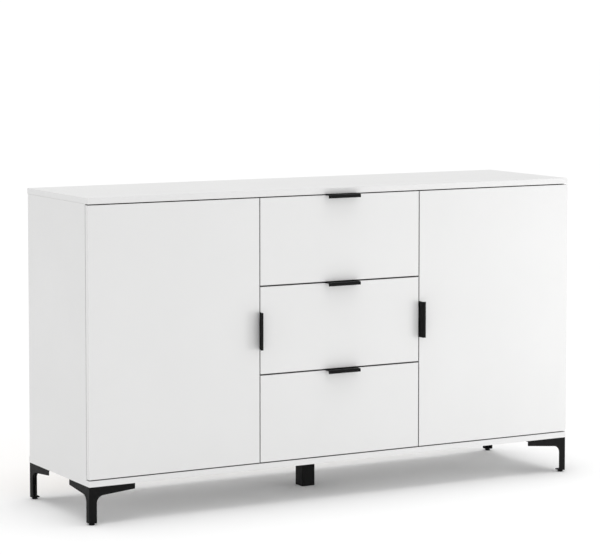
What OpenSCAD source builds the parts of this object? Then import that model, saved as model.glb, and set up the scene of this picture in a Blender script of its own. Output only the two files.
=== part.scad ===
// Three-column sideboard: door, three drawers, door, on corner legs with levelling feet.
// The origin is on the floor under the middle of the carcass. The front faces -Y.

/* [Cabinet] */
// Width over the side panels
cabinet_w = 1500; // [1400:10:1700]
// Depth from the front faces to the back edge
cabinet_d = 400; // [390:5:450]
// Height from the floor to the top surface
cabinet_h = 850; // [780:10:920]
// Height of the legs under the bottom panel
leg_h = 100; // [90:5:120]
// Thickness of the carcass boards, doors and drawer fronts
board_t = 16; // [15:0.5:18]
// Thickness of the back panels and drawer bottoms
thin_t = 3; // [2.5:0.5:4]

/* [Fronts] */
// Gap between a front and the top or bottom panel, and between columns
edge_gap = 3; // [2.5:0.5:4]
// Gap between two drawer fronts
drawer_gap = 4; // [3:0.5:6]
// Gap behind the fronts, left by their bumpers
bumper_gap = 2; // [1.8:0.1:2.5]

/* [Handles] */
// Length of a tab pull
pull_l = 100; // [60:5:160]
// How far a tab pull stands out from the front
pull_out = 22; // [16:1:30]
// Height of the tab pull's lip
pull_lip = 9; // [6:1:14]
// Thickness of the tab pull's sheet
pull_t = 1.5; // [1:0.1:1.6]
// Depth of the flange behind the front
pull_flange = 14; // [10:1:20]

/* [Drawers] */
// Height of the drawer box
box_h = 150; // [100:5:160]
// Thickness of the drawer sides and backs
box_t = 12; // [10:1:16]
// Length of the drawer slides and boxes
slide_l = 350; // [250:50:350]
// Height of a drawer slide
slide_h = 45; // [35:1:46]
// Space that a slide fills beside the drawer
slide_w = 12.7; // [12.7:0.1:13.2]

/* [Legs] */
// Length of a corner leg's arms along the panel edges
arm_l = 130; // [80:5:160]
// Depth of an arm at its free end
arm_end_h = 14.6; // [10:0.2:18]
// Width of a corner leg's upright
upright_w = 21; // [18:1:30]
// Thickness of a corner leg's sheet
leg_t = 3; // [2:0.5:4]
// Clear height between the metal and the floor
foot_clear = 5; // [4.5:0.5:8]
// Radius of a levelling foot's pad
foot_r = 7.5; // [6:0.5:9]
// Side of the square middle leg
centre_leg_w = 40; // [30:1:60]

/* [Hidden] */
$fn = 64;

// Carcass
half_w = cabinet_w / 2;
half_d = cabinet_d / 2;
front_y = -half_d;
front_back_y = front_y + board_t;
carcass_y = front_back_y + bumper_gap;
back_inset = 1;
back_y = half_d - back_inset - thin_t;
floor_z = leg_h + board_t;
roof_z = cabinet_h - board_t;
divider_x = cabinet_w / 6;
bay_half_w = divider_x - board_t / 2;
side_in_x = half_w - board_t;
compartment_in_x = divider_x + board_t / 2;
back_gap = 0.5;
back_side_in = 2;

// Drawer fronts and doors
drawer_front_h = (roof_z - floor_z - 2 * edge_gap - 2 * drawer_gap) / 3;
drawer_half_w = divider_x - edge_gap / 2;
door_low_z = floor_z + edge_gap;
door_high_z = roof_z - edge_gap;
door_in_x = divider_x + edge_gap / 2;
door_mid_z = (door_low_z + door_high_z) / 2;

// Drawer boxes and slides
box_lift = 25;
box_half_w = bay_half_w - slide_w;
box_in_x = box_half_w - box_t;
box_back_y = front_back_y + slide_l;
bottom_lift = 10;
groove_deep = 6;
groove_play = 0.2;
slide_lift = 60;
slide_setback = 2;
slide_start_y = carcass_y + slide_setback;
rail_t = 1.2;
ball_gap = 2.6;
rail_play = 0.7;
mid_web_x = 3.6;
inner_flange_l = 5;

// Shelf and its pins
shelf_z = (floor_z + roof_z - board_t) / 2;
shelf_setback = 20;
shelf_front_y = carcass_y + shelf_setback;
shelf_play = 1;
pin_r = 2.45;
pin_hole_r = 2.5;
pin_hole_deep = 10;
pin_out = 8;
pin_pitch = 32;
pin_steps = 2;
pin_front_in = 37;
pin_back_in = 60;
pin_rows = [carcass_y + pin_front_in, back_y - pin_back_in];

// Cam locks
cam_r = 7.4;
cam_hole_r = 7.5;
cam_deep = 12;
cam_hole_deep = 12.5;
cam_edge = 34;
cam_front_in = 60;
cam_back_in = 50;
cam_rows = [carcass_y + cam_front_in, back_y - cam_back_in];
cam_slot_l = 10;
cam_slot_w = 1.6;
cam_slot_deep = 2;

// Nails in the back panels
nail_r = 2;
nail_head_t = 0.8;
nail_count = 7;
nail_edge = 30;
nail_inset = 4;

// Concealed hinges, placed from the door's outer front corner
hinge_end = 100;
hinge_arm_pin = [35, 31];
hinge_cup_pin = [9.4, 12.4];
hinge_sag = 12.8;
hinge_pin_r = 1;
hinge_bore_r = 1.05;
hinge_eye_r = 2;
link_t = 2;
link_w = 10;
cup_x = 20.5;
cup_r = 17.4;
cup_bore_r = 17.5;
cup_in_r = 16.5;
cup_deep = 12.1;
cup_bore_deep = 12.3;
cup_floor_t = 0.9;
cup_flange_t = 1;
cup_flange_r = 19;
cup_wing_w = 14;
cup_wing_h = 60;
cup_pin_l = 25;

// Hinge plates, placed from the carcass's front edge and the hinge's height
plate_t = 3;
plate_span = [20, 62];
plate_h = 15;
wing_span = [28, 46];
wing_h = 50;
plate_screw_y = 37;
plate_screw_z = 16;

// Hinge arms, placed from the door's outer front corner
cheek_base_y = 43;
cheek_top_y = 37;
cheek_end_y = 84;
cheek_rise = 0.5;
cheek_top_x = hinge_arm_pin[0] + cheek_rise;
ear_r = 3.5;
ear_t = 1.5;
ear_gap = 0.6;
arm_screw_ys = [54, 74];
arm_screw_r = 3.4;
arm_screw_t = 1.6;

// Corner legs and levelling feet
arm_root_h = 23;
arm_root_x = 38;
arm_slope = (arm_root_h - arm_end_h) / (arm_l - arm_root_x);
arm_fillet_r = 20;
leg_bend_r = 4;
shelf_plate_w = 26;
foot_in = 11;
stud_r = 3;
stud_hole_r = 3.05;
stud_top = 38;
pad_t = 2.5;
nut_t = 2;
nut_r = 5.5;
screw_r = 2.25;
screw_hole_r = 2.4;
screw_head_r = 4.2;
screw_head_t = 2.4;
screw_deep = 11;
screw_play = 1.5;
screw_in = 13;
screw_near = 45;
screw_far = arm_l - 20;
screw_places = [[screw_near, screw_in], [screw_far, screw_in],
                [screw_in, screw_near], [screw_in, screw_far]];

// ---------- shared shapes ----------

module block(low, high) {
    translate(low)
        cube(high - low);
}

// A round bar along X, from x to x + length
module bar_x(x, y, z, length, r) {
    translate([x, y, z])
        rotate([0, 90, 0])
            cylinder(h = length, r = r);
}

// A round bar along Y, from y back to y - length
module bar_y(x, y, z, length, r) {
    translate([x, y, z])
        rotate([90, 0, 0])
            cylinder(h = length, r = r);
}

// Repeats its children for the right-hand side
module both_sides() {
    children();
    mirror([1, 0, 0])
        children();
}

// ---------- carcass ----------

module top_panel() {
    color("white")
        block([-half_w, front_y, roof_z], [half_w, half_d, cabinet_h]);
}

module bottom_panel() {
    color("white")
        difference() {
            block([-half_w, front_y, leg_h], [half_w, half_d, floor_z]);
            screw_shanks(screw_hole_r, leg_h - 1, 1 + screw_deep + screw_play);
        }
}

// Bores for the shelf pins and cam locks, opening at x towards +X
module panel_bores(x) {
    for (y = pin_rows, step = [-pin_steps : pin_steps])
        bar_x(x - pin_hole_deep, y, shelf_z - pin_r + step * pin_pitch, pin_hole_deep + 1, pin_hole_r);
    for (y = cam_rows, z = [floor_z + cam_edge, roof_z - cam_edge])
        bar_x(x - cam_hole_deep, y, z, cam_hole_deep + 1, cam_hole_r);
}

module side_panel() {
    color("white")
        difference() {
            block([-half_w, carcass_y, floor_z], [-side_in_x, back_y, roof_z]);
            panel_bores(-side_in_x);
        }
}

module divider() {
    color("white")
        difference() {
            block([-compartment_in_x, carcass_y, floor_z], [-bay_half_w, back_y, roof_z]);
            translate([-2 * compartment_in_x, 0, 0])
                mirror([1, 0, 0])
                    panel_bores(-compartment_in_x);
        }
}

module back_panel(left_x, right_x) {
    color("tan")
        block([left_x, back_y, floor_z + back_gap], [right_x, back_y + thin_t, roof_z - back_gap]);
}

module shelf() {
    color("white")
        block([-side_in_x + shelf_play, shelf_front_y, shelf_z],
              [-compartment_in_x - shelf_play, back_y - shelf_play, shelf_z + board_t]);
}

module shelf_pins() {
    color("silver")
        both_sides()
            for (y = pin_rows) {
                bar_x(-side_in_x - pin_hole_deep, y, shelf_z - pin_r, pin_hole_deep + pin_out, pin_r);
                bar_x(-compartment_in_x - pin_out, y, shelf_z - pin_r, pin_hole_deep + pin_out, pin_r);
            }
}

// One cam lock, its slotted face at x, its body towards -X
module cam_lock(x, y, z) {
    difference() {
        bar_x(x - cam_deep, y, z, cam_deep, cam_r);
        for (size = [[cam_slot_l, cam_slot_w], [cam_slot_w, cam_slot_l]])
            block([x - cam_slot_deep, y - size[0] / 2, z - size[1] / 2],
                  [x + 1, y + size[0] / 2, z + size[1] / 2]);
    }
}

module cam_locks() {
    color("silver")
        both_sides()
            for (y = cam_rows, z = [floor_z + cam_edge, roof_z - cam_edge]) {
                cam_lock(-side_in_x, y, z);
                translate([-2 * compartment_in_x, 0, 0])
                    mirror([1, 0, 0])
                        cam_lock(-compartment_in_x, y, z);
            }
}

module back_nails() {
    nail_pitch = (roof_z - floor_z - 2 * nail_edge) / (nail_count - 1);
    color("silver")
        both_sides()
            for (x = [half_w - board_t / 2, divider_x - nail_inset, divider_x + nail_inset])
                for (step = [0 : nail_count - 1])
                    bar_y(x, back_y + thin_t + nail_head_t, floor_z + nail_edge + step * nail_pitch,
                          nail_head_t, nail_r);
}

// ---------- legs ----------

// One face of a corner leg: an upright, a fillet and a tapering arm, in X and height
module leg_outline() {
    fillet_x = upright_w + arm_fillet_r;
    slope_len = sqrt(1 + arm_slope * arm_slope);
    arm_z = leg_h - arm_root_h + (fillet_x - arm_root_x) * arm_slope;
    fillet_z = arm_z - arm_fillet_r * slope_len;
    tangent = [fillet_x - arm_fillet_r * arm_slope / slope_len, fillet_z + arm_fillet_r / slope_len];
    difference() {
        polygon([
            [0, foot_clear], [upright_w, foot_clear], [upright_w, fillet_z], [fillet_x, fillet_z],
            tangent, [arm_l, leg_h - arm_end_h], [arm_l, leg_h], [0, leg_h]
        ]);
        translate([fillet_x, fillet_z])
            circle(r = arm_fillet_r);
    }
}

module leg_face() {
    translate([0, leg_t, 0])
        rotate([90, 0, 0])
            linear_extrude(height = leg_t)
                leg_outline();
}

// A corner leg at the origin, its arms along +X and +Y
module leg_shape() {
    difference() {
        union() {
            leg_face();
            mirror([1, -1, 0])
                leg_face();
            block([0, 0, leg_h - leg_t], [arm_l, shelf_plate_w, leg_h]);
            block([0, 0, leg_h - leg_t], [shelf_plate_w, arm_l, leg_h]);
            block([0, 0, foot_clear], [upright_w, upright_w, foot_clear + leg_t]);
        }
        translate([0, 0, foot_clear - 1])
            linear_extrude(height = leg_h)
                difference() {
                    translate([-1, -1])
                        square(leg_bend_r + 1);
                    translate([leg_bend_r, leg_bend_r])
                        circle(r = leg_bend_r);
                }
        translate([foot_in, foot_in, foot_clear - 1])
            cylinder(h = leg_t + 2, r = stud_hole_r);
        for (place = screw_places)
            translate([place[0], place[1], leg_h - leg_t - 1])
                cylinder(h = leg_t + 2, r = screw_hole_r);
    }
}

// Moves its children from the origin's corner to the corner on side (side_x, side_y)
module at_corner(side_x, side_y) {
    translate([side_x * half_w, side_y * half_d, 0])
        mirror([side_x > 0 ? 1 : 0, 0, 0])
            mirror([0, side_y > 0 ? 1 : 0, 0])
                children();
}

module corner_leg(side_x, side_y) {
    color([0.12, 0.12, 0.12])
        at_corner(side_x, side_y)
            leg_shape();
}

module levelling_foot(side_x, side_y) {
    color([0.08, 0.08, 0.08])
        at_corner(side_x, side_y)
            translate([foot_in, foot_in, 0]) {
                cylinder(h = pad_t, r = foot_r);
                translate([0, 0, pad_t])
                    cylinder(h = nut_t, r = nut_r, $fn = 6);
                cylinder(h = stud_top, r = stud_r);
            }
}

// The shanks of all the leg screws, from low_z upwards
module screw_shanks(r, low_z, length) {
    for (side_x = [-1, 1], side_y = [-1, 1])
        at_corner(side_x, side_y)
            for (place = screw_places)
                translate([place[0], place[1], low_z])
                    cylinder(h = length, r = r);
}

module leg_screws() {
    head_z = leg_h - leg_t - screw_head_t;
    color("silver") {
        screw_shanks(screw_r, head_z, screw_head_t + leg_t + screw_deep);
        screw_shanks(screw_head_r, head_z, screw_head_t);
    }
}

module centre_leg() {
    wall = 3;
    corner_r = 2;
    inner_w = centre_leg_w - 2 * wall;
    color([0.1, 0.1, 0.1])
        difference() {
            linear_extrude(height = leg_h)
                difference() {
                    square(centre_leg_w, center = true);
                    for (side_x = [-1, 1], side_y = [-1, 1])
                        translate([side_x * centre_leg_w / 2, side_y * centre_leg_w / 2])
                            mirror([side_x > 0 ? 1 : 0, 0])
                                mirror([0, side_y > 0 ? 1 : 0])
                                    difference() {
                                        translate([-1, -1])
                                            square(corner_r + 1);
                                        translate([corner_r, corner_r])
                                            circle(r = corner_r);
                                    }
                }
            block([-inner_w / 2, -inner_w / 2, wall], [inner_w / 2, inner_w / 2, leg_h - wall]);
            translate([0, 0, leg_h - wall - 1])
                cylinder(h = wall + 2, r = screw_hole_r);
        }
}

// ---------- handles ----------

// Section of a tab pull: x runs out from the board's face, y away from the board's edge
module pull_section() {
    bend_r = 3;
    difference() {
        union() {
            translate([-board_t - pull_t, 0])
                square([board_t + pull_t + pull_out, pull_t]);
            translate([pull_out - pull_t, pull_t - pull_lip])
                square([pull_t, pull_lip]);
            translate([-board_t - pull_t, pull_t - pull_flange])
                square([pull_t, pull_flange]);
            translate([pull_out - bend_r, pull_t - bend_r])
                square(bend_r);
        }
        translate([pull_out - bend_r, pull_t - bend_r])
            difference() {
                square(bend_r + 1);
                circle(r = bend_r);
            }
        translate([pull_out - bend_r, pull_t - bend_r])
            intersection() {
                circle(r = bend_r - pull_t);
                square(bend_r);
            }
    }
}

module pull() {
    color([0.1, 0.1, 0.1])
        linear_extrude(height = pull_l, center = true)
            pull_section();
}

module drawer_handle(row) {
    translate([0, front_y, drawer_z(row) + drawer_front_h])
        rotate([90, 0, -90])
            pull();
}

module door_handle() {
    translate([-door_in_x, front_y, door_mid_z])
        rotate([0, 0, -90])
            pull();
}

// ---------- doors and hinges ----------

hinge_zs = [door_low_z + hinge_end, door_high_z - hinge_end];

module door() {
    color("white")
        difference() {
            block([-half_w, front_y, door_low_z], [-door_in_x, front_back_y, door_high_z]);
            for (z = hinge_zs)
                bar_y(-half_w + cup_x, front_back_y + 1, z, cup_bore_deep + 1, cup_bore_r);
        }
}

module hinge_cups() {
    x = -half_w + cup_x;
    color("silver")
        for (z = hinge_zs) {
            difference() {
                union() {
                    bar_y(x, front_back_y, z, cup_deep, cup_r);
                    bar_y(x, front_back_y + cup_flange_t, z, cup_flange_t, cup_flange_r);
                    block([x - cup_wing_w / 2, front_back_y, z - cup_wing_h / 2],
                          [x + cup_wing_w / 2, front_back_y + cup_flange_t, z + cup_wing_h / 2]);
                }
                bar_y(x, front_back_y + cup_flange_t + 1, z,
                      cup_flange_t + 1 + cup_deep - cup_floor_t, cup_in_r);
            }
            translate([-half_w + hinge_cup_pin[0], front_y + hinge_cup_pin[1], z - cup_pin_l / 2])
                cylinder(h = cup_pin_l, r = hinge_pin_r);
        }
}

// Plan of the curved link: an arc from the cup pin to the arm pin that bends down into the cup
module link_plan() {
    across = hinge_arm_pin - hinge_cup_pin;
    chord = norm(across);
    bend_r = (chord * chord / 4 + hinge_sag * hinge_sag) / (2 * hinge_sag);
    difference() {
        translate(hinge_cup_pin)
            rotate(atan2(across[1], across[0])) {
                intersection() {
                    translate([chord / 2, bend_r - hinge_sag])
                        difference() {
                            circle(r = bend_r + link_t / 2);
                            circle(r = bend_r - link_t / 2);
                        }
                    translate([-chord, -2 * chord])
                        square([3 * chord, 2 * chord]);
                }
                circle(r = hinge_eye_r);
                translate([chord, 0])
                    circle(r = hinge_eye_r);
            }
        translate(hinge_cup_pin)
            circle(r = hinge_bore_r);
        translate(hinge_arm_pin)
            circle(r = hinge_bore_r);
    }
}

module hinge_links() {
    color("silver")
        for (z = hinge_zs)
            translate([-half_w, front_y, z - link_w / 2])
                linear_extrude(height = link_w)
                    link_plan();
}

module hinge_plates() {
    color("silver")
        both_sides()
            for (z = hinge_zs)
                difference() {
                    union() {
                        block([-side_in_x, carcass_y + plate_span[0], z - plate_h / 2],
                              [-side_in_x + plate_t, carcass_y + plate_span[1], z + plate_h / 2]);
                        block([-side_in_x, carcass_y + wing_span[0], z - wing_h / 2],
                              [-side_in_x + plate_t, carcass_y + wing_span[1], z + wing_h / 2]);
                    }
                    for (side = [-1, 1])
                        bar_x(-side_in_x - 1, carcass_y + plate_screw_y, z + side * plate_screw_z,
                              plate_t + 2, screw_hole_r);
                }
}

// Plan of one cheek of the arm, measured from the door's outer front corner
module cheek_plan() {
    base_x = board_t + plate_t;
    polygon([
        [base_x, cheek_base_y], hinge_arm_pin, [cheek_top_x, cheek_top_y],
        [cheek_top_x, cheek_end_y], [base_x, cheek_end_y]
    ]);
    translate(hinge_arm_pin)
        circle(r = ear_r);
}

module hinge_arms() {
    cheek_z = link_w / 2 + ear_gap;
    color("silver")
        for (z = hinge_zs)
            translate([-half_w, front_y, z]) {
                for (side = [-1, 1])
                    translate([0, 0, side * (cheek_z + ear_t / 2) - ear_t / 2])
                        linear_extrude(height = ear_t)
                            cheek_plan();
                block([cheek_top_x - ear_t, cheek_top_y, -cheek_z], [cheek_top_x, cheek_end_y, cheek_z]);
                translate([hinge_arm_pin[0], hinge_arm_pin[1], -cheek_z])
                    cylinder(h = 2 * cheek_z, r = hinge_pin_r);
                for (y = arm_screw_ys)
                    bar_x(cheek_top_x, y, 0, arm_screw_t, arm_screw_r);
            }
}

// ---------- drawers ----------

function drawer_z(row) = floor_z + edge_gap + row * (drawer_front_h + drawer_gap);
function box_z(row) = drawer_z(row) + box_lift;

module drawer_front(row) {
    color("white")
        block([-drawer_half_w, front_y, drawer_z(row)],
              [drawer_half_w, front_back_y, drawer_z(row) + drawer_front_h]);
}

module drawer_side(row) {
    groove_z = box_z(row) + bottom_lift;
    color("white")
        difference() {
            block([-box_half_w, front_back_y, box_z(row)], [-box_in_x, box_back_y, box_z(row) + box_h]);
            block([-box_in_x - groove_deep, front_back_y - 1, groove_z],
                  [-box_in_x + 1, box_back_y + 1, groove_z + thin_t + groove_play]);
        }
}

module drawer_back(row) {
    color("white")
        block([-box_in_x, box_back_y - box_t, box_z(row) + bottom_lift + thin_t],
              [box_in_x, box_back_y, box_z(row) + box_h]);
}

module drawer_bottom(row) {
    reach = box_in_x + groove_deep - groove_play;
    low_z = box_z(row) + bottom_lift;
    color("whitesmoke")
        block([-reach, front_back_y, low_z], [reach, box_back_y, low_z + thin_t]);
}

// A channel section: a web at web_x, and flanges of length reach towards +X, or -X if it is negative
module channel(web_x, half_h, reach) {
    low_x = min(web_x, web_x + reach);
    translate([web_x, -half_h])
        square([rail_t, 2 * half_h]);
    for (side = [-1, 1])
        translate([low_x, side * (half_h - rail_t / 2) - rail_t / 2])
            square([abs(reach), rail_t]);
}

// Runs a channel section along a pair of slides in one drawer's row
module rail_pair(row) {
    both_sides()
        translate([-bay_half_w, slide_start_y + slide_l, box_z(row) + slide_lift])
            rotate([90, 0, 0])
                linear_extrude(height = slide_l)
                    children();
}

module slide_outer_rails() {
    color("silver")
        for (row = [0 : 2])
            rail_pair(row)
                channel(0, slide_h / 2, slide_w - rail_t - rail_play);
}

module mid_rails(row) {
    color("silver")
        rail_pair(row)
            channel(mid_web_x, slide_h / 2 - rail_t - ball_gap, slide_w - rail_t - rail_play - mid_web_x);
}

module inner_rails(row) {
    color("silver")
        rail_pair(row)
            channel(slide_w - rail_t, slide_h / 2 - 2 * (rail_t + ball_gap), -inner_flange_l);
}

// ---------- the nodes ----------

top_panel();
bottom_panel();
side_panel();  // left_side_panel
mirror([1, 0, 0]) side_panel();  // right_side_panel
divider();  // left_divider
mirror([1, 0, 0]) divider();  // right_divider
back_panel(-half_w + back_side_in, -divider_x - back_gap);  // left_back_panel
back_panel(-divider_x + back_gap, divider_x - back_gap);  // centre_back_panel
back_panel(divider_x + back_gap, half_w - back_side_in);  // right_back_panel
shelf();  // left_shelf
mirror([1, 0, 0]) shelf();  // right_shelf
shelf_pins();
cam_locks();
back_nails();
corner_leg(-1, -1);  // front_left_leg
corner_leg(1, -1);  // front_right_leg
corner_leg(-1, 1);  // rear_left_leg
corner_leg(1, 1);  // rear_right_leg
centre_leg();
levelling_foot(-1, -1);  // front_left_foot
levelling_foot(1, -1);  // front_right_foot
levelling_foot(-1, 1);  // rear_left_foot
levelling_foot(1, 1);  // rear_right_foot
leg_screws();
hinge_plates();
hinge_arms();  // left_hinge_arms
mirror([1, 0, 0]) hinge_arms();  // right_hinge_arms
hinge_links();  // left_hinge_links
mirror([1, 0, 0]) hinge_links();  // right_hinge_links
hinge_cups();  // left_hinge_cups
mirror([1, 0, 0]) hinge_cups();  // right_hinge_cups
door();  // left_door
mirror([1, 0, 0]) door();  // right_door
door_handle();  // left_door_handle
mirror([1, 0, 0]) door_handle();  // right_door_handle
slide_outer_rails();
drawer_front(0);  // lower_drawer_front
drawer_handle(0);  // lower_drawer_handle
drawer_side(0);  // lower_drawer_left_side
mirror([1, 0, 0]) drawer_side(0);  // lower_drawer_right_side
drawer_back(0);  // lower_drawer_back
drawer_bottom(0);  // lower_drawer_bottom
mid_rails(0);  // lower_drawer_mid_rails
inner_rails(0);  // lower_drawer_inner_rails
drawer_front(1);  // middle_drawer_front
drawer_handle(1);  // middle_drawer_handle
drawer_side(1);  // middle_drawer_left_side
mirror([1, 0, 0]) drawer_side(1);  // middle_drawer_right_side
drawer_back(1);  // middle_drawer_back
drawer_bottom(1);  // middle_drawer_bottom
mid_rails(1);  // middle_drawer_mid_rails
inner_rails(1);  // middle_drawer_inner_rails
drawer_front(2);  // upper_drawer_front
drawer_handle(2);  // upper_drawer_handle
drawer_side(2);  // upper_drawer_left_side
mirror([1, 0, 0]) drawer_side(2);  // upper_drawer_right_side
drawer_back(2);  // upper_drawer_back
drawer_bottom(2);  // upper_drawer_bottom
mid_rails(2);  // upper_drawer_mid_rails
inner_rails(2);  // upper_drawer_inner_rails
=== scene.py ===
"""Sideboard: the looks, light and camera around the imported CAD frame. Lengths are in metres."""

import math

import bmesh
import bpy
from mathutils import Matrix, Vector


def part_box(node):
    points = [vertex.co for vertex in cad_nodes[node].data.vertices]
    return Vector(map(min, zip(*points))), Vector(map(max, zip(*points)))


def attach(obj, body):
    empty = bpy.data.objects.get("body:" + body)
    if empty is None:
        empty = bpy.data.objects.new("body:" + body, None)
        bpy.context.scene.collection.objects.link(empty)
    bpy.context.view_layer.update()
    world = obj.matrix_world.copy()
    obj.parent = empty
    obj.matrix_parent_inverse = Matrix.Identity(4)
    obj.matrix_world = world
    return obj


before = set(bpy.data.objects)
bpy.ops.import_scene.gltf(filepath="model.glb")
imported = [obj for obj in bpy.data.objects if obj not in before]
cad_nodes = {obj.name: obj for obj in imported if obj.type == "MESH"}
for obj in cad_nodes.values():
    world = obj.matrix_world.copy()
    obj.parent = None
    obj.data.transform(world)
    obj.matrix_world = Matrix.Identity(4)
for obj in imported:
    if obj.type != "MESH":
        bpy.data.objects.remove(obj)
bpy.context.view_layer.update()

MM = 0.001

# ---------- what each CAD node is made of ----------

WHITE_BOARDS = [
    "top_panel", "bottom_panel", "left_side_panel", "right_side_panel", "left_divider",
    "right_divider", "left_shelf", "right_shelf", "left_door", "right_door",
]
DRAWERS = ["lower", "middle", "upper"]
LEGS = ["front_left", "front_right", "rear_left", "rear_right"]
SIDES = ["left", "right"]


# ---------- camera ----------

def make_camera():
    """The camera at the photograph's viewing angle, from the front left and a little above."""
    place = Vector((-3.252, -5.810, 1.3415))
    yaw, drop = math.radians(29.115), math.radians(4.0)
    data = bpy.data.cameras.new("camera")
    data.sensor_width = 36.0
    data.lens = 143.83
    data.shift_y = -0.1725
    data.clip_end = 200.0  # beyond the floor's far edge
    camera = bpy.data.objects.new("camera", data)
    camera.location = place
    camera.rotation_euler = (math.radians(90) - drop, 0.0, -yaw)
    bpy.context.scene.collection.objects.link(camera)
    bpy.context.scene.camera = camera


# ---------- node helpers ----------

def start_material(name, **values):
    """A Principled material with the given values on its own sockets."""
    material = bpy.data.materials.new(name)
    material.use_nodes = True
    tree = material.node_tree
    shader = next(n for n in tree.nodes if n.type == "BSDF_PRINCIPLED")
    for socket, value in values.items():
        shader.inputs[socket.replace("_", " ")].default_value = value
    return material, tree, shader


def object_coords(tree, stretch=(1.0, 1.0, 1.0)):
    """The piece's own coordinates, in metres, stretched by axis."""
    coords = tree.nodes.new("ShaderNodeTexCoord")
    mapping = tree.nodes.new("ShaderNodeMapping")
    mapping.inputs["Scale"].default_value = stretch
    tree.links.new(coords.outputs["Object"], mapping.inputs["Vector"])
    return mapping.outputs["Vector"]


def noise(tree, coords, scale, detail=2.0, roughness=0.5):
    """Procedural noise, with scale in cycles per metre."""
    node = tree.nodes.new("ShaderNodeTexNoise")
    node.inputs["Scale"].default_value = scale
    node.inputs["Detail"].default_value = detail
    node.inputs["Roughness"].default_value = roughness
    tree.links.new(coords, node.inputs["Vector"])
    return node.outputs["Fac"]


def spread(tree, value, low, high, from_low=0.3, from_high=0.7):
    """Maps a varying value onto the range from low to high."""
    node = tree.nodes.new("ShaderNodeMapRange")
    node.inputs["From Min"].default_value = from_low
    node.inputs["From Max"].default_value = from_high
    node.inputs["To Min"].default_value = low
    node.inputs["To Max"].default_value = high
    tree.links.new(value, node.inputs["Value"])
    return node.outputs["Result"]


def combine(tree, operation, first, second):
    """A Math node on two values, each a number or another node's output."""
    node = tree.nodes.new("ShaderNodeMath")
    node.operation = operation
    for socket, value in zip(node.inputs, (first, second)):
        if isinstance(value, (int, float)):
            socket.default_value = value
        else:
            tree.links.new(value, socket)
    return node.outputs["Value"]


def mix_colours(tree, share, first, second):
    """From the first colour to the second as share goes from 0 to 1."""
    node = tree.nodes.new("ShaderNodeMix")
    node.data_type = "RGBA"
    tree.links.new(share, node.inputs["Factor"])
    for socket, colour in ((node.inputs[6], first), (node.inputs[7], second)):
        if isinstance(colour, tuple):
            socket.default_value = (*colour, 1.0)
        else:
            tree.links.new(colour, socket)
    return node.outputs[2]


def bumps(tree, shader, layers):
    """Stacks bump layers, each (height, distance, strength), onto the shader's normal."""
    normal = None
    for height, distance, strength in layers:
        node = tree.nodes.new("ShaderNodeBump")
        node.inputs["Distance"].default_value = distance
        node.inputs["Strength"].default_value = strength
        tree.links.new(height, node.inputs["Height"])
        if normal is not None:
            tree.links.new(normal, node.inputs["Normal"])
        normal = node.outputs["Normal"]
    tree.links.new(normal, shader.inputs["Normal"])


def edge_mask(tree, radius, patch_coords, patch_scale):
    """Near 1 along the piece's sharp edges, broken up by noise, and 0 elsewhere."""
    bevel = tree.nodes.new("ShaderNodeBevel")
    bevel.samples = 4
    bevel.inputs["Radius"].default_value = radius
    geometry = tree.nodes.new("ShaderNodeNewGeometry")
    dot = tree.nodes.new("ShaderNodeVectorMath")
    dot.operation = "DOT_PRODUCT"
    tree.links.new(bevel.outputs["Normal"], dot.inputs[0])
    tree.links.new(geometry.outputs["Normal"], dot.inputs[1])
    sharp = spread(tree, dot.outputs["Value"], 1.0, 0.0, 0.80, 0.995)
    patches = spread(tree, noise(tree, patch_coords, patch_scale, 3.0), 0.15, 1.0, 0.35, 0.62)
    return combine(tree, "MULTIPLY", sharp, patches)


def painted_crevice_shade(tree, reach):
    """Painted shade: near 1 in narrow gaps and inner corners, where shade falls, and 0 on open faces, from an
    ambient-occlusion mask.
    """
    shade = tree.nodes.new("ShaderNodeAmbientOcclusion")
    shade.samples = 4
    shade.inputs["Distance"].default_value = reach
    return spread(tree, shade.outputs["AO"], 1.0, 0.0, 0.05, 0.6)


# ---------- materials ----------

def melamine(name, colour, worn):
    """Satin melamine on board: a fine pressed texture, faint cloudiness, slightly worn edges, and painted
    shade that darkens the colour in gaps and inner corners.
    """
    material, tree, shader = start_material(name, Specular_IOR_Level=0.42)
    coords = object_coords(tree)
    cloud = noise(tree, coords, 5.0, 4.0)
    shade = tuple(c * 0.982 for c in colour)
    base = mix_colours(tree, spread(tree, cloud, 0.0, 1.0), shade, colour)
    edges = edge_mask(tree, 0.9 * MM, coords, 60.0)
    base = mix_colours(tree, combine(tree, "MULTIPLY", edges, 0.35), base, worn)
    # painted shade: the base colour darkens towards grey in gaps and inner corners, standing in for the shade
    # that falls there
    base = mix_colours(tree, painted_crevice_shade(tree, 8.0 * MM), base, (0.17, 0.17, 0.168))
    tree.links.new(base, shader.inputs["Base Color"])
    sheen = spread(tree, noise(tree, coords, 70.0, 5.0), 0.40, 0.50)
    tree.links.new(combine(tree, "ADD", sheen, combine(tree, "MULTIPLY", edges, 0.12)),
                   shader.inputs["Roughness"])
    bumps(tree, shader, [
        (noise(tree, coords, 1400.0, 2.0), 0.03 * MM, 0.50),
        (noise(tree, coords, 260.0, 2.0), 0.06 * MM, 0.35),
    ])
    return material


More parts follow.
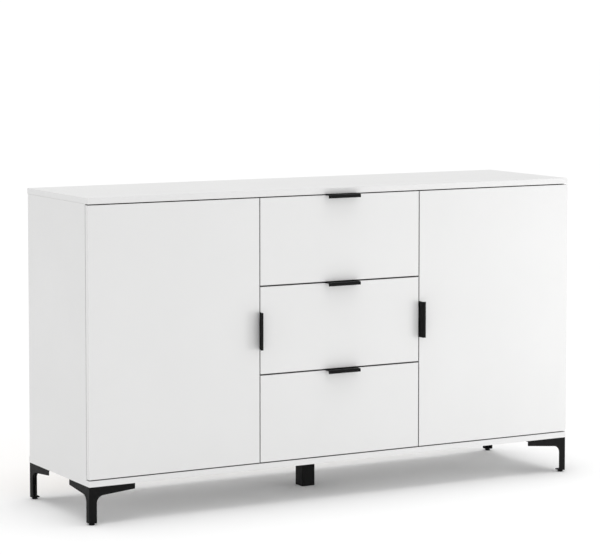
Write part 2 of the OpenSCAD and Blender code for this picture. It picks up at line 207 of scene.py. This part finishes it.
def foil_board(name):
    """The drawer box's foil: white with a fine linen print."""
    material, tree, shader = start_material(name, Specular_IOR_Level=0.40)
    coords = object_coords(tree)
    along = noise(tree, object_coords(tree, (1.0, 0.06, 1.0)), 1600.0, 2.0)
    across = noise(tree, object_coords(tree, (0.06, 1.0, 0.06)), 1600.0, 2.0)
    threads = combine(tree, "ADD", along, across)
    print_share = spread(tree, threads, 0.0, 1.0, 0.8, 1.2)
    base = mix_colours(tree, print_share, (0.79, 0.79, 0.78), (0.84, 0.84, 0.83))
    edges = edge_mask(tree, 0.8 * MM, coords, 70.0)
    base = mix_colours(tree, combine(tree, "MULTIPLY", edges, 0.4), base, (0.72, 0.71, 0.69))
    tree.links.new(base, shader.inputs["Base Color"])
    tree.links.new(spread(tree, noise(tree, coords, 60.0, 4.0), 0.46, 0.58), shader.inputs["Roughness"])
    bumps(tree, shader, [(threads, 0.05 * MM, 0.35)])
    return material


def fibreboard(name, white_side):
    """Thin fibreboard: lacquered white where the object-space normal points along white_side."""
    material, tree, shader = start_material(name, Specular_IOR_Level=0.35)
    coords = object_coords(tree)
    fibres = noise(tree, object_coords(tree, (1.0, 1.0, 0.35)), 900.0, 6.0, 0.7)
    blotches = noise(tree, coords, 14.0, 5.0)
    fine = mix_colours(tree, spread(tree, fibres, 0.0, 1.0), (0.33, 0.245, 0.17), (0.47, 0.37, 0.27))
    raw = mix_colours(tree, spread(tree, blotches, 0.0, 0.5), fine, (0.40, 0.305, 0.215))
    white = mix_colours(tree, spread(tree, blotches, 0.0, 1.0), (0.80, 0.80, 0.79), (0.84, 0.84, 0.83))
    facing = tree.nodes.new("ShaderNodeTexCoord")
    dot = tree.nodes.new("ShaderNodeVectorMath")
    dot.operation = "DOT_PRODUCT"
    dot.inputs[1].default_value = white_side
    tree.links.new(facing.outputs["Normal"], dot.inputs[0])
    lacquered = combine(tree, "GREATER_THAN", dot.outputs["Value"], 0.5)
    tree.links.new(mix_colours(tree, lacquered, raw, white), shader.inputs["Base Color"])
    rough = spread(tree, lacquered, 0.82, 0.50, 0.0, 1.0)
    grain = spread(tree, fibres, -0.05, 0.05)
    tree.links.new(combine(tree, "ADD", rough, grain), shader.inputs["Roughness"])
    bumps(tree, shader, [(fibres, 0.06 * MM, 0.45)])
    return material


def powder_coat(name):
    """Black powder-coated sheet: a fine sandy texture, edges rubbed a little greyer."""
    material, tree, shader = start_material(name, Specular_IOR_Level=0.13)
    coords = object_coords(tree)
    grit = noise(tree, coords, 2600.0, 3.0, 0.6)
    dark = mix_colours(tree, spread(tree, grit, 0.0, 1.0), (0.0022, 0.0022, 0.0023), (0.0046, 0.0046, 0.0048))
    edges = edge_mask(tree, 0.6 * MM, coords, 120.0)
    base = mix_colours(tree, combine(tree, "MULTIPLY", edges, 0.45), dark, (0.03, 0.03, 0.031))
    tree.links.new(base, shader.inputs["Base Color"])
    rough = spread(tree, noise(tree, coords, 90.0, 4.0), 0.50, 0.62)
    tree.links.new(rough, shader.inputs["Roughness"])
    bumps(tree, shader, [(grit, 0.05 * MM, 0.5)])
    return material


def moulded_plastic(name):
    """Matt black plastic with a moulded grain and faint scuffs."""
    material, tree, shader = start_material(name, Specular_IOR_Level=0.15)
    coords = object_coords(tree)
    cells = tree.nodes.new("ShaderNodeTexVoronoi")
    cells.inputs["Scale"].default_value = 1500.0
    tree.links.new(coords, cells.inputs["Vector"])
    scuffs = noise(tree, object_coords(tree, (1.0, 1.0, 0.12)), 300.0, 5.0, 0.7)
    scuffed = spread(tree, scuffs, 0.0, 1.0, 0.5, 0.8)
    base = mix_colours(tree, scuffed, (0.0032, 0.0032, 0.0034), (0.012, 0.012, 0.0125))
    tree.links.new(base, shader.inputs["Base Color"])
    tree.links.new(spread(tree, scuffs, 0.52, 0.66), shader.inputs["Roughness"])
    bumps(tree, shader, [(cells.outputs["Distance"], 0.05 * MM, 0.4)])
    return material


def zinc_steel(name, drawn):
    """Bright zinc-plated steel, with drawn lines along one axis: drawn shrinks that axis's noise."""
    material, tree, shader = start_material(name, Metallic=1.0)
    coords = object_coords(tree)
    lines = noise(tree, object_coords(tree, drawn), 1800.0, 3.0, 0.6)
    clouds = noise(tree, coords, 45.0, 4.0)
    base = mix_colours(tree, spread(tree, clouds, 0.0, 1.0), (0.56, 0.565, 0.575), (0.65, 0.65, 0.65))
    edges = edge_mask(tree, 0.5 * MM, coords, 150.0)
    base = mix_colours(tree, combine(tree, "MULTIPLY", edges, 0.6), base, (0.78, 0.78, 0.78))
    tree.links.new(base, shader.inputs["Base Color"])
    rough = combine(tree, "ADD", spread(tree, clouds, 0.28, 0.36), spread(tree, lines, -0.03, 0.05))
    tree.links.new(rough, shader.inputs["Roughness"])
    bumps(tree, shader, [(lines, 0.02 * MM, 0.35)])
    return material


def floor_paint(name):
    """Plain pale studio floor."""
    material, tree, shader = start_material(name, Specular_IOR_Level=0.0, Roughness=0.9)
    coords = object_coords(tree)
    tone = mix_colours(tree, noise(tree, coords, 0.7, 2.0), (0.975, 0.975, 0.975), (0.985, 0.985, 0.985))
    tree.links.new(tone, shader.inputs["Base Color"])
    return material


def make_looks():
    """Every material of the sideboard, by a short name."""
    return {
        "white": melamine("white_melamine", (0.82, 0.82, 0.817), (0.76, 0.76, 0.75)),
        "foil": foil_board("drawer_foil"),
        "back": fibreboard("back_fibreboard", (0.0, -1.0, 0.0)),
        "base": fibreboard("bottom_fibreboard", (0.0, 0.0, 1.0)),
        "coat": powder_coat("black_powder_coat"),
        "plastic": moulded_plastic("black_plastic"),
        "rail_steel": zinc_steel("rail_steel", (1.0, 0.04, 1.0)),
        "fitting_steel": zinc_steel("fitting_steel", (1.0, 1.0, 0.08)),
    }


# ---------- giving the CAD nodes their looks ----------

def soften(piece, width, segments):
    """Rounds the sharp edges of a CAD node with modifiers, leaving its mesh as it is."""
    weld = piece.modifiers.new("weld", "WELD")
    weld.merge_threshold = 0.002 * MM
    bevel = piece.modifiers.new("rounding", "BEVEL")
    bevel.width = width
    bevel.segments = segments
    bevel.limit_method = "ANGLE"
    bevel.angle_limit = math.radians(30.0)
    normals = piece.modifiers.new("normals", "WEIGHTED_NORMAL")
    normals.keep_sharp = True


def dress(name, material, rounding=0.0, segments=2):
    """Gives a CAD node its material and, where rounding isn't 0, slightly rounded edges."""
    piece = cad_nodes[name]
    piece.data.materials.clear()
    piece.data.materials.append(material)
    if rounding:
        soften(piece, rounding, segments)


def dress_cad_nodes(looks):
    """Every CAD node gets its own material."""
    for name in WHITE_BOARDS:
        dress(name, looks["white"], 0.7 * MM, 3)
    for side in SIDES:
        dress(f"{side}_door_handle", looks["coat"], 0.25 * MM)
        for part in ("hinge_arms", "hinge_links", "hinge_cups"):
            dress(f"{side}_{part}", looks["fitting_steel"])
        dress(f"{side}_back_panel", looks["back"])
    dress("centre_back_panel", looks["back"])
    for row in DRAWERS:
        dress(f"{row}_drawer_front", looks["white"], 0.7 * MM, 3)
        dress(f"{row}_drawer_handle", looks["coat"], 0.25 * MM)
        for part in ("left_side", "right_side", "back"):
            dress(f"{row}_drawer_{part}", looks["foil"], 0.4 * MM)
        dress(f"{row}_drawer_bottom", looks["base"])
        dress(f"{row}_drawer_mid_rails", looks["rail_steel"])
        dress(f"{row}_drawer_inner_rails", looks["rail_steel"])
    for corner in LEGS:
        dress(f"{corner}_leg", looks["coat"], 0.4 * MM)
        dress(f"{corner}_foot", looks["plastic"], 0.5 * MM)
    dress("centre_leg", looks["plastic"], 0.5 * MM)
    dress("slide_outer_rails", looks["rail_steel"])
    for name in ("shelf_pins", "cam_locks", "back_nails", "leg_screws", "hinge_plates"):
        dress(name, looks["fitting_steel"])


# ---------- where the CAD parts are that the detail pieces sit on ----------

SIDE_LOW, SIDE_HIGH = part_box("left_side_panel")
DIVIDER_LOW, DIVIDER_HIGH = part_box("left_divider")
DOOR_LOW, DOOR_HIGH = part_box("left_door")
RAILS_LOW, RAILS_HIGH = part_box("slide_outer_rails")
DRAWER_FRONTS = {row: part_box(f"{row}_drawer_front") for row in DRAWERS}

HALF_W, SIDE_IN_X = -SIDE_LOW.x, -SIDE_HIGH.x
DIVIDER_OUT_X, BAY_HALF_W = -DIVIDER_LOW.x, -DIVIDER_HIGH.x
CARCASS_Y = DIVIDER_LOW.y
DOOR_IN_X = -DOOR_HIGH.x
FRONT_BACK_Y = DOOR_HIGH.y
HINGE_Z = [DOOR_LOW.z + 100 * MM, DOOR_HIGH.z - 100 * MM]
HINGE_CUP_X = HALF_W - 20.5 * MM
HINGE_PLATE_T, HINGE_FLANGE_T, PULL_T, RAIL_T = 3 * MM, 1 * MM, 1.5 * MM, 1.2 * MM
SLIDE_W = 12.7 * MM
SLIDE_Z = {row: low.z + 85 * MM for row, (low, high) in DRAWER_FRONTS.items()}
SLIDE_START_Y, SLIDE_LENGTH = RAILS_LOW.y, RAILS_HIGH.y - RAILS_LOW.y


def mirrored(place, side):
    """A place given for the left half, or its mirror image on the right half."""
    return place if side == "left" else (-place[0], place[1], place[2])


# ---------- detail pieces: screws, bumpers and the slides' balls ----------

SCREW_PROFILE = [(1.0, 0.0), (1.0, 0.45), (0.92, 0.82), (0.74, 1.0)]
BUMPER_PROFILE = [(1.0, 0.0), (1.0, 0.55), (0.93, 0.8), (0.75, 0.95), (0.35, 1.0)]


def stand_on(place, facing):
    """The transform that puts something at place with its Z axis along facing."""
    return Matrix.Translation(place) @ Vector(facing).to_track_quat("Z", "Y").to_matrix().to_4x4()


def add_wall(bm, low, high):
    """Joins two closed loops of the same length with four-sided faces."""
    for step in range(len(low)):
        after = (step + 1) % len(low)
        bm.faces.new((low[step], low[after], high[after], high[step]))


def add_turned(bm, spot, radius, height, profile, segments):
    """A turned shape with a closed foot and an open top: profile is in shares of radius and height."""
    rings = []
    for share, lift in profile:
        rings.append([bm.verts.new(spot @ Vector((
            radius * share * math.cos(math.tau * step / segments),
            radius * share * math.sin(math.tau * step / segments),
            height * lift))) for step in range(segments)])
    for low, high in zip(rings, rings[1:]):
        add_wall(bm, low, high)
    bm.faces.new(list(reversed(rings[0])))
    return rings[-1]


def add_screw(bm, place, facing, radius, height):
    """A cross-recess screw head standing on place and facing along facing."""
    spot = stand_on(place, facing)
    top = add_turned(bm, spot, radius, height, SCREW_PROFILE, segments=24)
    arm, half = 0.56 * radius, 0.13 * radius
    outline = [(arm, half), (half, half), (half, arm), (-half, arm), (-half, half), (-arm, half),
               (-arm, -half), (-half, -half), (-half, -arm), (half, -arm), (half, -half), (arm, -half)]
    rim = [bm.verts.new(spot @ Vector((x, y, height))) for x, y in outline]
    pit = [bm.verts.new(spot @ Vector((x, y, 0.3 * height))) for x, y in outline]
    top_edges = []
    for loop in (top, rim):
        for first, second in zip(loop, loop[1:] + loop[:1]):
            top_edges.append(bm.edges.get((first, second)) or bm.edges.new((first, second)))
    bmesh.ops.triangle_fill(bm, use_beauty=True, edges=top_edges)
    add_wall(bm, rim, pit)
    bm.faces.new(pit)


def add_bumper(bm, place, facing):
    """A soft round pad with a domed face, a little thinner than the gap behind the fronts."""
    top = add_turned(bm, stand_on(place, facing), 3.0 * MM, 1.8 * MM, BUMPER_PROFILE, segments=20)
    bm.faces.new(top)


def finish_piece(bm, name, material, body):
    """Turns the mesh into a piece that rides on a body."""
    bmesh.ops.recalc_face_normals(bm, faces=bm.faces)
    mesh = bpy.data.meshes.new(name)
    bm.to_mesh(mesh)
    bm.free()
    mesh.shade_smooth()
    mesh.set_sharp_from_angle(angle=math.radians(35.0))
    mesh.materials.append(material)
    piece = bpy.data.objects.new(name, mesh)
    bpy.context.scene.collection.objects.link(piece)
    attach(piece, body)


def make_hinge_plate_screws(looks):
    """Two screws through each hinge plate into the side panel."""
    x, y, spread_z = -SIDE_IN_X + HINGE_PLATE_T, CARCASS_Y + 37 * MM, 16 * MM
    bm = bmesh.new()
    for side in SIDES:
        inwards = mirrored((1.0, 0.0, 0.0), side)
        for z in HINGE_Z:
            for lift in (-spread_z, spread_z):
                add_screw(bm, mirrored((x, y, z + lift), side), inwards, 4.2 * MM, 1.8 * MM)
    finish_piece(bm, "hinge_plate_screws", looks["fitting_steel"], "carcass")


def make_hinge_cup_screws(looks):
    """Two screws through each hinge cup's wings into the door."""
    y, spread_z = FRONT_BACK_Y + HINGE_FLANGE_T, 24 * MM
    for side in SIDES:
        bm = bmesh.new()
        for z in HINGE_Z:
            for lift in (-spread_z, spread_z):
                place = mirrored((-HINGE_CUP_X, y, z + lift), side)
                add_screw(bm, place, (0.0, 1.0, 0.0), 3.4 * MM, 1.2 * MM)
        finish_piece(bm, f"{side}_hinge_cup_screws", looks["fitting_steel"], f"{side}_door")


def make_slide_screws(looks):
    """Flat screws through the outer rails into the dividers, and through the inner rails into the drawers."""
    steel = looks["fitting_steel"]
    head_r, head_t = 3.4 * MM, 0.9 * MM
    outer_x, inner_x = -BAY_HALF_W + RAIL_T, -BAY_HALF_W + SLIDE_W - RAIL_T
    outer = bmesh.new()
    for row in DRAWERS:
        z = SLIDE_Z[row]
        inner = bmesh.new()
        for side in SIDES:
            inwards, outwards = mirrored((1.0, 0.0, 0.0), side), mirrored((-1.0, 0.0, 0.0), side)
            for y in (-140 * MM, -20 * MM, 120 * MM):
                add_screw(outer, mirrored((outer_x, y, z), side), inwards, head_r, head_t)
                add_screw(inner, mirrored((inner_x, y, z), side), outwards, head_r, head_t)
        finish_piece(inner, f"{row}_drawer_slide_screws", steel, f"{row}_drawer")
    finish_piece(outer, "outer_rail_screws", steel, "carcass")


def make_pull_screws(looks):
    """Two black screws through each pull's rear flange."""
    flange_y, flange_in, spread_out = FRONT_BACK_Y + PULL_T, 6.5 * MM, 34 * MM
    door_x, door_mid_z = -DIVIDER_OUT_X - 3.1 * MM, (DOOR_LOW.z + DOOR_HIGH.z) / 2
    head_r, head_t = 2.6 * MM, 1.2 * MM
    for row in DRAWERS:
        bm = bmesh.new()
        for x in (-spread_out, spread_out):
            place = (x, flange_y, DRAWER_FRONTS[row][1].z - flange_in)
            add_screw(bm, place, (0.0, 1.0, 0.0), head_r, head_t)
        finish_piece(bm, f"{row}_pull_screws", looks["coat"], f"{row}_drawer")
    for side in SIDES:
        bm = bmesh.new()
        for lift in (-spread_out, spread_out):
            place = mirrored((door_x, flange_y, door_mid_z + lift), side)
            add_screw(bm, place, (0.0, 1.0, 0.0), head_r, head_t)
        finish_piece(bm, f"{side}_pull_screws", looks["coat"], f"{side}_door")


def make_bumpers(looks):
    """The pads that keep the fronts off the dividers' front edges."""
    edge_in, corner = 3.3 * MM, 12 * MM
    for side in SIDES:
        bm = bmesh.new()
        for z in (DOOR_LOW.z + corner, DOOR_HIGH.z - corner):
            add_bumper(bm, mirrored((-DOOR_IN_X - edge_in, FRONT_BACK_Y, z), side), (0.0, 1.0, 0.0))
        finish_piece(bm, f"{side}_door_bumpers", looks["plastic"], f"{side}_door")
    for row in DRAWERS:
        low, high = DRAWER_FRONTS[row]
        bm = bmesh.new()
        for side in SIDES:
            for z in (low.z + corner, high.z - corner):
                add_bumper(bm, mirrored((low.x + edge_in, FRONT_BACK_Y, z), side), (0.0, 1.0, 0.0))
        finish_piece(bm, f"{row}_drawer_bumpers", looks["plastic"], f"{row}_drawer")


def add_ball_row(bm, x, low_y, z):
    """A row of balls in its thin cage, half as long as the slide."""
    ball_r, pitch, margin = 1.22 * MM, 8 * MM, 6 * MM
    cage_w, cage_t, cage_over = 3.6 * MM, 0.7 * MM, 3 * MM
    steps = int((SLIDE_LENGTH / 2 - 2 * margin) / pitch)
    for step in range(steps + 1):
        place = Matrix.Translation((x, low_y + margin + step * pitch, z))
        bmesh.ops.create_icosphere(bm, subdivisions=2, radius=ball_r, matrix=place)
    middle = Matrix.Translation((x, low_y + margin + steps * pitch / 2, z))
    size = Matrix.Diagonal((cage_w, steps * pitch + 2 * cage_over, cage_t, 1.0))
    bmesh.ops.create_cube(bm, size=1.0, matrix=middle @ size)


def make_slide_balls(looks):
    """The ball rows stay on the half of the middle rail that the other rail always covers."""
    outer_x, outer_lift = -BAY_HALF_W + 7.2 * MM, 20.0 * MM
    inner_x, inner_lift = -BAY_HALF_W + 8.6 * MM, 16.2 * MM
    for row in DRAWERS:
        z = SLIDE_Z[row]
        bm = bmesh.new()
        for side in SIDES:
            for way in (-1, 1):
                outer = mirrored((outer_x, SLIDE_START_Y + SLIDE_LENGTH / 2, z + way * outer_lift), side)
                inner = mirrored((inner_x, SLIDE_START_Y, z + way * inner_lift), side)
                add_ball_row(bm, *outer)
                add_ball_row(bm, *inner)
        finish_piece(bm, f"{row}_slide_balls", looks["rail_steel"], f"{row}_mid_rails")


# ---------- studio ----------

def make_floor():
    """A pale floor that reaches the horizon."""
    half = 60.0
    mesh = bpy.data.meshes.new("floor")
    corners = [(-half, -half, 0), (half, -half, 0), (half, half, 0), (-half, half, 0)]
    mesh.from_pydata(corners, [], [(0, 1, 2, 3)])
    floor = bpy.data.objects.new("floor", mesh)
    floor.data.materials.append(floor_paint("pale_floor"))
    bpy.context.scene.collection.objects.link(floor)


def make_world(strength, seen):
    """Even white light all round: strength lights the object, seen is what the camera sees of it."""
    world = bpy.data.worlds.new("studio")
    world.use_nodes = True
    tree = world.node_tree
    light = tree.nodes["Background"]
    light.inputs["Strength"].default_value = strength
    light.inputs["Color"].default_value = (1.0, 1.0, 1.0, 1.0)
    backdrop = tree.nodes.new("ShaderNodeBackground")
    backdrop.inputs["Strength"].default_value = seen
    backdrop.inputs["Color"].default_value = (1.0, 1.0, 1.0, 1.0)
    path = tree.nodes.new("ShaderNodeLightPath")
    mix = tree.nodes.new("ShaderNodeMixShader")
    tree.links.new(path.outputs["Is Camera Ray"], mix.inputs["Fac"])
    tree.links.new(light.outputs["Background"], mix.inputs[1])
    tree.links.new(backdrop.outputs["Background"], mix.inputs[2])
    tree.links.new(mix.outputs["Shader"], tree.nodes["World Output"].inputs["Surface"])
    bpy.context.scene.world = world


def point_at(thing, target):
    """Turns a light so that it shines at target."""
    thing.rotation_euler = (Vector(target) - thing.location).to_track_quat("-Z", "Y").to_euler()


def make_area(name, place, target, width, height, power):
    """A soft rectangular light at place that shines at target."""
    data = bpy.data.lights.new(name, "AREA")
    data.shape = "RECTANGLE"
    data.size = width
    data.size_y = height
    data.energy = power
    lamp = bpy.data.objects.new(name, data)
    lamp.location = place
    point_at(lamp, target)
    bpy.context.scene.collection.objects.link(lamp)


def make_overhead(strength, spread_deg):
    """A very soft light from straight above, the same over the whole floor."""
    data = bpy.data.lights.new("overhead", "SUN")
    data.energy = strength
    data.angle = math.radians(spread_deg)
    lamp = bpy.data.objects.new("overhead", data)
    bpy.context.scene.collection.objects.link(lamp)


def make_studio():
    """Even light all round, a soft light from above and a weak soft key from the right."""
    make_floor()
    make_world(strength=0.665, seen=1.05)
    make_overhead(strength=1.22, spread_deg=58.0)
    make_area("key", place=(2.3, -1.9, 0.42), target=(0.5, -0.2, 0.42), width=1.0, height=0.8, power=12.8)


def set_view():
    """Plain colours, with no film look."""
    scene = bpy.context.scene
    scene.view_settings.view_transform = "Standard"
    scene.view_settings.look = "None"
    scene.view_settings.exposure = 0.0
    scene.view_settings.gamma = 1.0


make_camera()
set_view()
looks = make_looks()
dress_cad_nodes(looks)
make_hinge_plate_screws(looks)
make_hinge_cup_screws(looks)
make_slide_screws(looks)
make_pull_screws(looks)
make_bumpers(looks)
make_slide_balls(looks)
make_studio()
